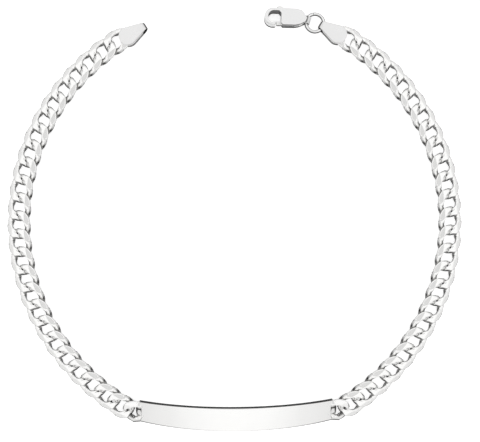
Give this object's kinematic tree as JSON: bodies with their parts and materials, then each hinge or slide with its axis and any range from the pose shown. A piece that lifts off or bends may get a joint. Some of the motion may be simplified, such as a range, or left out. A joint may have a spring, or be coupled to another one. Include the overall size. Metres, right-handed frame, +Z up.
{
  "type": "id bracelet",
  "caption": "Silver identity bracelet with a curved blank plate, flat bevelled curb chain on both sides, folded end tags and a flat lobster clasp, lying open in a circle.",
  "frame": {"origin": "middle of the overall box in plan, at the surface that the bracelet lies on", "axes": "+X across the circle from the free end's side to the clasp's side, +Y from the plate to the clasp, +Z up from the surface"},
  "size_m": [0.0802, 0.0732, 0.0059],
  "materials": {
    "silver": "polished sterling silver"
  },
  "bodies": {
    "bracelet": {"plate": "silver", "chain_left": "silver", "chain_right": "silver", "tag_left": "silver", "tag_right": "silver", "jump_ring": "silver", "clasp_body": "silver", "clasp_pin": "silver"},
    "lever": {"clasp_lever": "silver"}
  },
  "joints": [
    {"name": "lever_hinge", "type": "hinge", "parent": "bracelet", "child": "lever", "pos_m": [0.01052, 0.03411, 0.00095], "axis": [0, 0, -1], "range_deg": [0, 18], "stiffness_Nm_per_rad": 0.0005}
  ]
}
